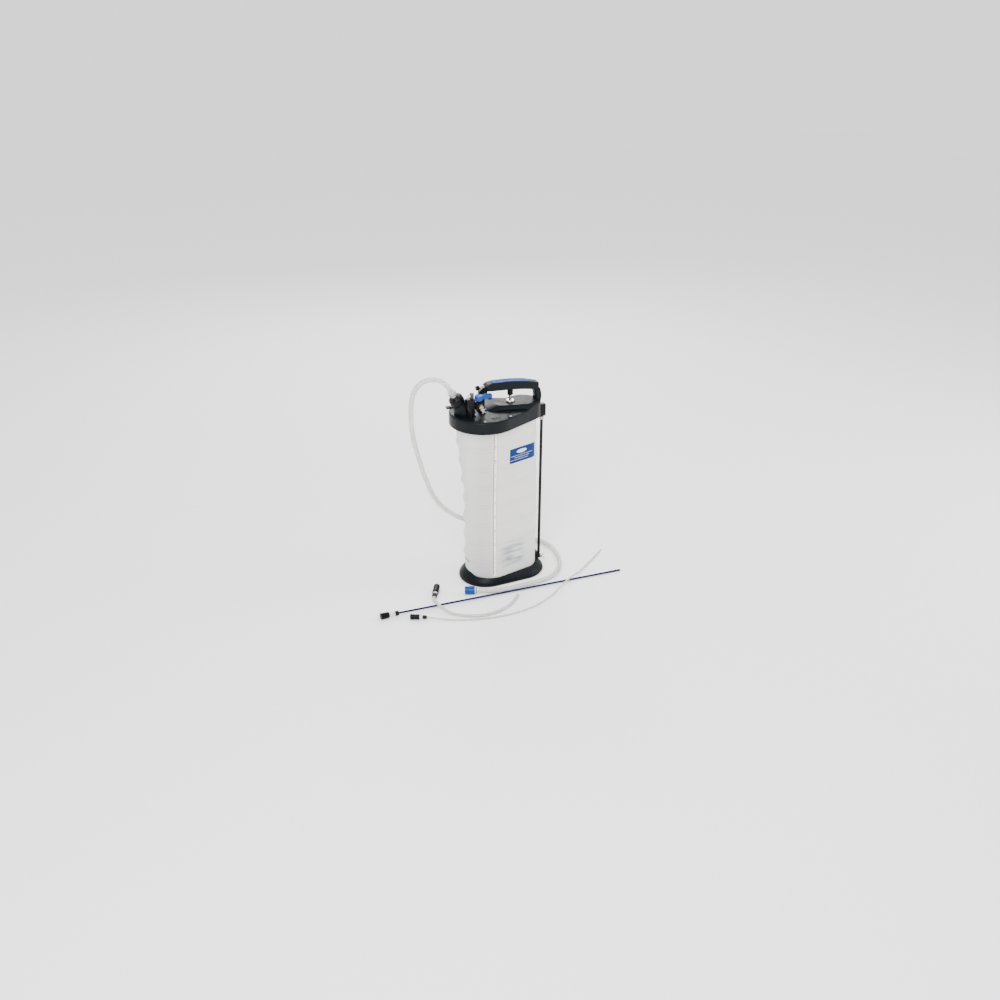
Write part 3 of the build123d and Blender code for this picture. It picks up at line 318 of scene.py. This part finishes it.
FINISH = {
    "lid_plastic": moulded("lid_polypropylene", (0.0018, 0.0034, 0.0046), 0.40, 800,
                           Specular_IOR_Level=0.13),
    "boot_rubber": rubber("boot_rubber", (0.0012, 0.0024, 0.0034), 0.42),
    "tank_plastic": blown_tank(),
    "scale_ink": printed("scale_film", (0.86, 0.79, 0.77), 0.4),
    "label_blue": printed("label_film", (0.0002, 0.020, 0.120), 0.34, Specular_IOR_Level=0.12),
    "handle_black": moulded("handle_nylon", (0.0022, 0.0040, 0.0052), 0.40, 1100,
                            Specular_IOR_Level=0.13),
    "grip_blue": moulded("grip_elastomer", (0.0002, 0.048, 0.21), 0.46, 1500, variety=0.08,
                         Specular_IOR_Level=0.10),
    "blue_plastic": moulded("blue_nylon", (0.0002, 0.045, 0.22), 0.28, 900, variety=0.08,
                            Specular_IOR_Level=0.18),
    "chrome": metal("bright_chrome", (0.50, 0.50, 0.52), 0.07),
    "nickel": metal("turned_nickel", (0.40, 0.385, 0.37), 0.18, 0.000008),
    "brass": metal("turned_brass", (0.42, 0.27, 0.12), 0.22, 0.000008),
    "zinc_steel": metal("zinc_steel", (0.36, 0.36, 0.36), 0.30),
    "rod_black": enamel("black_enamel", (0.0015, 0.0015, 0.0018), 0.18),
    "dark_cast": moulded("anodised_block", (0.0024, 0.0026, 0.0032), 0.32, 1300, variety=0.2,
                         Specular_IOR_Level=0.18),
    "seal_rubber": rubber("nitrile", (0.007, 0.007, 0.008), 0.48),
    "pump_alloy": metal("drawn_alloy", (0.72, 0.73, 0.74), 0.3),
    "inner_plastic": moulded("natural_polypropylene", (0.72, 0.72, 0.69), 0.42, 700, variety=0.05),
    "silencer_grey": moulded("sintered_filter", (0.07, 0.055, 0.06), 0.6, 2600, 0.0002),
    "hose_clear": clear_tube("clear_hose", (0.80, 0.80, 0.76), 0.70, 0.12),
    "probe_clear": clear_tube("clear_probe", (0.76, 0.76, 0.74), 0.80, 0.22),
    "probe_blue": enamel("blue_enamel", (0.0030, 0.0022, 0.042), 0.24),
    "ring_white": moulded("white_nylon", (0.60, 0.61, 0.61), 0.30, 900, variety=0.05),
    "grip_black": moulded("grip_nylon", (0.0015, 0.0018, 0.0024), 0.34, 1200,
                          Specular_IOR_Level=0.15),
}
RED_INK = printed("red_ink", (0.10, 0.012, 0.012), 0.45, Specular_IOR_Level=0.1)
PINK_INK = printed("pink_ink", (0.45, 0.16, 0.15), 0.45)
SLOTS = {part["node"]: part["material_slot"] for part in frame["record"]["subparts"]}


def finish_nodes():
    """Gives each CAD node the finish of its slot."""
    for name, obj in nodes.items():
        obj.data.materials.clear()
        obj.data.materials.append(FINISH[SLOTS[name]])


# ---- Mesh help


def new_piece(name, mesh, slot, smooth=True, material=None):
    """Puts a mesh in the scene as a piece of the root body."""
    obj = bpy.data.objects.new(name, mesh)
    bpy.context.scene.collection.objects.link(obj)
    mesh.materials.append(material or FINISH[slot])
    for polygon in mesh.polygons:
        polygon.use_smooth = smooth
    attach(obj, "root")
    return obj


def outward_mesh(name, points, faces):
    """A closed mesh with all its faces turned outwards."""
    mesh = bpy.data.meshes.new(name)
    mesh.from_pydata(points, [], faces)
    bm = bmesh.new()
    bm.from_mesh(mesh)
    bmesh.ops.recalc_face_normals(bm, faces=bm.faces)
    bm.to_mesh(mesh)
    bm.free()
    return mesh


def mesh_of(curve):
    """The mesh that a curve or a figure gives."""
    source = bpy.data.objects.new(curve.name, curve)
    bpy.context.scene.collection.objects.link(source)
    bpy.context.view_layer.update()
    shaped = source.evaluated_get(bpy.context.evaluated_depsgraph_get())
    mesh = bpy.data.meshes.new_from_object(shaped)
    bpy.data.objects.remove(source)
    return mesh


def from_rings(name, rings, close_ends=True):
    """A closed mesh through rings of equally many points. It has an end face at each end, or its
    last ring joins its first."""
    count = len(rings[0])
    points = [point for ring in rings for point in ring]
    faces = []
    for level in range(len(rings) - 1):
        for k in range(count):
            a, b = level * count + k, level * count + (k + 1) % count
            faces.append((a, b, b + count, a + count))
    if close_ends:
        faces.append(tuple(reversed(range(count))))
        faces.append(tuple(range(len(points) - count, len(points))))
    else:
        last = (len(rings) - 1) * count
        for k in range(count):
            faces.append((last + k, last + (k + 1) % count, (k + 1) % count, k))
    return outward_mesh(name, points, faces)


# ---- Tank

LEFT_STEPS, WALL_STEPS, RIGHT_STEPS = 72, 22, 54


def tank_plan(z):
    """The tank's plan at a height: constant up to the waist, then changing evenly to the rim."""
    share = max(0.0, (z - TANK_WAIST) / (TANK_RIM - TANK_WAIST))
    return tuple(a + (b - a) * share for a, b in zip(TANK_LOW, TANK_TOP))


def plan_points(plan):
    """Points round a pear outline, each with its outward normal, from the back left tangent."""
    left, left_r, right, right_r = plan
    lean = (left_r - right_r) / (right - left)
    start = math.acos(lean)
    points = []
    for k in range(LEFT_STEPS):
        turn = start + (2 * math.pi - 2 * start) * k / LEFT_STEPS
        normal = Vector((math.cos(turn), math.sin(turn), 0))
        points.append((Vector((left, 0, 0)) + normal * left_r, normal))
    front = Vector((lean, -math.sqrt(1 - lean**2), 0))
    for k in range(WALL_STEPS):
        share = k / WALL_STEPS
        centre = Vector((left + (right - left) * share, 0, 0))
        points.append((centre + front * (left_r + (right_r - left_r) * share), front))
    for k in range(RIGHT_STEPS):
        turn = -start + 2 * start * k / RIGHT_STEPS
        normal = Vector((math.cos(turn), math.sin(turn), 0))
        points.append((Vector((right, 0, 0)) + normal * right_r, normal))
    back = Vector((lean, math.sqrt(1 - lean**2), 0))
    for k in range(WALL_STEPS):
        share = 1 - k / WALL_STEPS
        centre = Vector((left + (right - left) * share, 0, 0))
        points.append((centre + back * (left_r + (right_r - left_r) * share), back))
    return points


def rib_offset(z):
    """The distance from a height to the nearest rib's crest."""
    number = min(RIB_COUNT - 1, max(0, round((z - RIB_FIRST) / RIB_PITCH)))
    return abs(z - RIB_FIRST - number * RIB_PITCH)


def rib_weight(z):
    """How far up a rib's side a height is, from 0 between ribs to 1 on a crest."""
    off = rib_offset(z) / RIB_HALF
    return (1 - off**2) ** 2 if off < 1 else 0.0


def wall_ring(z, inset):
    """The tank's wall at a height: its ribs fade out towards the front."""
    weight = rib_weight(z)
    bead = max(0.0, 1 - (rib_offset(z) / BEAD_HALF) ** 2) * BEAD_PROUD
    ring = []
    for point, normal in plan_points(tank_plan(z)):
        swell = max(bead, weight * max(0.0, RIB_SWELL + RIB_BACK * normal.y))
        ring.append(point + normal * (swell - inset) + Vector((0, 0, z)))
    return ring


def flat_ring(plan, z):
    return [point + Vector((0, 0, z)) for point, _ in plan_points(plan)]


def make_tank():
    """The tank in one skin: up its outside, round its flange, and down its inside."""
    rise = [TANK_FLOOR + k * RING_PITCH for k in range(1, RING_COUNT + 1)]
    rings = [wall_ring(TANK_FLOOR + height, inset) for height, inset in FOOT_ROUND]
    rings += [wall_ring(z, 0) for z in rise if z < TANK_RIM - FLANGE_THICK]
    rings += [flat_ring(FLANGE, TANK_RIM - FLANGE_THICK), flat_ring(FLANGE, TANK_RIM)]
    rings += [wall_ring(z, TANK_SKIN) for z in reversed(rise) if z > TANK_FLOOR + TANK_SKIN]
    rings.append(wall_ring(TANK_FLOOR + TANK_SKIN, TANK_SKIN + FOOT_INSIDE))
    tank = new_piece("tank_wall", from_rings("tank_wall", rings), "tank_plastic")
    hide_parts("tank")


# ---- Print on the tank


def front_y(x, z, proud):
    """Y of the tank's front at an X and a height, a little outside its skin."""
    left, left_r, right, right_r = tank_plan(z)
    lean = (left_r - right_r) / (right - left)
    left_r, right_r = left_r + proud, right_r + proud
    if x < left + left_r * lean:
        return -math.sqrt(left_r**2 - (x - left) ** 2)
    if x > right + right_r * lean:
        return -math.sqrt(right_r**2 - (x - right) ** 2)
    return -left_r / math.sqrt(1 - lean**2) + (x - left) * lean / math.sqrt(1 - lean**2)


def film(grid):
    """A thin closed layer over a grid of X and Z places on the tank's front."""
    rows, columns = len(grid), len(grid[0])
    points, faces = [], []
    for proud in (PRINT_LOW, PRINT_HIGH):
        points += [(x, front_y(x, z, proud), z) for row in grid for x, z in row]
    top = rows * columns
    for r in range(rows - 1):
        for c in range(columns - 1):
            a = r * columns + c
            quad = (a, a + 1, a + columns + 1, a + columns)
            faces.append(quad[::-1])
            faces.append(tuple(top + k for k in quad))
    edge = list(range(columns))
    edge += [r * columns + columns - 1 for r in range(1, rows)]
    edge += [(rows - 1) * columns + c for c in range(columns - 2, -1, -1)]
    edge += [r * columns for r in range(rows - 2, 0, -1)]
    for a, b in zip(edge, edge[1:] + edge[:1]):
        faces.append((a, b, top + b, top + a))
    return points, faces


def panel(x_low, x_high, z_low, z_high):
    """A rectangle of print, cut finely enough to follow the wall."""
    across = max(1, math.ceil((x_high - x_low) / 0.004))
    upright = max(1, math.ceil((z_high - z_low) / 0.012))
    return [[(x_low + (x_high - x_low) * c / across, z_low + (z_high - z_low) * r / upright)
             for c in range(across + 1)] for r in range(upright + 1)]


def oval(x, z, half_wide, half_high):
    """An oval of print, in rows that narrow towards its top and foot."""
    rows = []
    for step in range(-7, 8):
        turn = math.radians(12 * step)
        wide = half_wide * math.cos(turn)
        rows.append([(x + wide * c / 6, z + half_high * math.sin(turn)) for c in range(-6, 7)])
    return rows


def printed_piece(name, layers, slot, material):
    """Joins layers of print in one piece."""
    points, faces = [], []
    for more, polygons in layers:
        faces += [tuple(len(points) + k for k in polygon) for polygon in polygons]
        points += more
    new_piece(name, outward_mesh(name, points, faces), slot, smooth=False, material=material)


def digit(number, x, z, high):
    """A figure as a thin closed mesh, upright on the front of the tank."""
    curve = bpy.data.curves.new("figure", "FONT")
    curve.body, curve.size, curve.extrude = str(number), high, 0.0001
    curve.align_x, curve.align_y = "CENTER", "CENTER"
    mesh = mesh_of(curve)
    points = []
    for vertex in mesh.vertices:
        px, pz = x + vertex.co.x, z + vertex.co.y
        points.append((px, front_y(px, pz, PRINT_HIGH) - vertex.co.z, pz))
    faces = [tuple(polygon.vertices) for polygon in mesh.polygons]
    bpy.data.meshes.remove(mesh)
    return points, faces


def make_print():
    """The label's oval and bars, and the strip's line, ticks and figures: all generic."""
    (x0, x1), (z0, z1) = LABEL_X, LABEL_Z
    layers = [film(oval((x0 + x1) / 2 + OVAL_RIGHT, z1 - OVAL_DOWN, OVAL_WIDE, OVAL_HIGH))]
    for row, (start, long) in enumerate(BARS):
        level = z0 + BAR_FIRST - row * BAR_PITCH
        layers.append(film(panel(x0 + start, x0 + start + long, level - BAR_THICK, level)))
    printed_piece("label_print", layers, "scale_ink", FINISH["ring_white"])
    left, right = STRIP_X
    low, high = STRIP_Z
    line = panel(left + LINE_X[0], left + LINE_X[1], low + LINE_INSET, high - LINE_INSET)
    layers = [film(line)]
    tick_x = left + LINE_X[1]
    for number in range(MARKS * TICKS_A_MARK):
        level = low + TICK_FIRST + number * MARK_PITCH / TICKS_A_MARK
        long = TICK_LONG if number % TICKS_A_MARK == 0 else TICK_SHORT
        layers.append(film(panel(tick_x, tick_x + long, level, level + TICK_THICK)))
    for number in range(1, MARKS):
        level = low + TICK_FIRST + number * MARK_PITCH
        layers.append(digit(number, left + FIGURE_RIGHT, level + FIGURE_UP, FIGURE_HIGH))
    printed_piece("scale_ticks", layers, "scale_ink", RED_INK)
    edge = panel(right - EDGE_X[0], right - EDGE_X[1], low + EDGE_INSET, high - EDGE_INSET)
    printed_piece("scale_edge", [film(edge)], "scale_ink", PINK_INK)


# ---- Cords


def route_line(name, route):
    """The route's smooth centreline, as points read from its NURBS spline."""
    curve = bpy.data.curves.new(name + "_line", "CURVE")
    curve.dimensions = "3D"
    curve.resolution_u = 10
    spline = curve.splines.new("NURBS")
    spline.points.add(len(route) - 1)
    for point, place in zip(spline.points, route):
        point.co = (*place, 1)
    spline.order_u = 3
    spline.use_endpoint_u = True
    mesh = mesh_of(curve)
    points = [vertex.co.copy() for vertex in mesh.vertices]
    bpy.data.meshes.remove(mesh)
    return points


def tube_rings(points, radius, sides):
    """Rings of a round section carried along a line without twist."""
    rings, across = [], None
    for number, point in enumerate(points):
        before, after = points[max(0, number - 1)], points[min(len(points) - 1, number + 1)]
        ahead = (after - before).normalized()
        if across is None:
            across = ahead.cross(Vector((0, 1, 0.2))).normalized()
        across = (across - ahead * across.dot(ahead)).normalized()
        up = ahead.cross(across)
        turns = [2 * math.pi * k / sides for k in range(sides)]
        rings.append([point + (across * math.cos(t) + up * math.sin(t)) * radius for t in turns])
    return rings


def make_tube(name, route, radius, bore, slot, sides=28):
    """A hollow tube along a route, and its centreline's points."""
    points = route_line(name, route)
    outer, inner = tube_rings(points, radius, sides), tube_rings(points, bore, sides)
    mesh = from_rings(name, outer + inner[::-1], close_ends=False)
    return new_piece(name, mesh, slot), points


def make_cords():
    """The suction hose and the two flexible probes, each at its whole length."""
    hose, line = make_tube("hose", HOSE_ROUTE, HOSE_R, HOSE_BORE, "hose_clear")
    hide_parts("suction_hose")
    thin, line = make_tube("thin_probe", THIN_ROUTE, THIN_R, THIN_BORE, "probe_clear", 18)
    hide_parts("thin_tube")
    thick, line = make_tube("thick_probe", THICK_ROUTE, THICK_R, THICK_BORE, "probe_clear", 22)
    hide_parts("thick_tube")


def make_clamp_bands():
    """The two dark straps round the hose clamp, each a closed band with rounded edges."""
    across = Vector((0, 1, 0))
    up = INLET_AXIS.cross(across)
    for number, start in enumerate(BAND_STARTS):
        rings = []
        for step in range(BAND_SIDES):
            turn = 2 * math.pi * step / BAND_SIDES
            out = across * math.cos(turn) + up * math.sin(turn)
            rings.append([INLET_FOOT + out * r + INLET_AXIS * (start + h) for r, h in BAND_SECTION])
        name = f"clamp_band_{number}"
        new_piece(name, from_rings(name, rings, close_ends=False), "grip_black")


# ---- Stage, light and camera


def make_stage():
    """A pale floor under an evenly lit white world."""
    mesh = bpy.data.meshes.new("floor")
    corners = [(x * FLOOR_HALF, y * FLOOR_HALF, 0) for x, y in ((-1, -1), (1, -1), (1, 1), (-1, 1))]
    mesh.from_pydata(corners, [], [(0, 1, 2, 3)])
    floor = bpy.data.objects.new("floor", mesh)
    bpy.context.scene.collection.objects.link(floor)
    mesh.materials.append(Shader("studio_floor", (0.97, 0.97, 0.97), 0.6, Specular_IOR_Level=0.2).mat)
    world = bpy.data.worlds.new("studio")
    bpy.context.scene.world = world
    world.use_nodes = True
    background = world.node_tree.nodes["Background"]
    background.inputs["Color"].default_value = (1, 1, 1, 1)
    background.inputs["Strength"].default_value = WORLD_STRENGTH


def area_light(name, place, aim, size, power):
    light = bpy.data.lights.new(name, "AREA")
    light.shape = "RECTANGLE"
    light.size, light.size_y = size
    light.energy = power
    obj = bpy.data.objects.new(name, light)
    bpy.context.scene.collection.objects.link(obj)
    obj.location = place
    obj.rotation_mode = "QUATERNION"
    obj.rotation_quaternion = (Vector(aim) - Vector(place)).to_track_quat("-Z", "Y")


def make_lights():
    for light in LIGHTS:
        area_light(*light)


def make_camera():
    turn, tilt = math.radians(VIEW_AZIMUTH), math.radians(VIEW_ELEVATION)
    level = math.cos(tilt)
    back = Vector((math.sin(turn) * level, -math.cos(turn) * level, math.sin(tilt)))
    camera = bpy.data.objects.new("camera", bpy.data.cameras.new("camera"))
    bpy.context.scene.collection.objects.link(camera)
    camera.data.lens, camera.data.sensor_width = VIEW_LENS, VIEW_SENSOR
    camera.location = VIEW_TARGET + back * VIEW_DISTANCE
    camera.rotation_mode = "QUATERNION"
    camera.rotation_quaternion = (-back).to_track_quat("-Z", "Y")
    camera.data.clip_end = VIEW_REACH
    bpy.context.scene.camera = camera


make_camera()
make_stage()
make_lights()
finish_nodes()
make_cords()
make_tank()
make_print()
make_clamp_bands()
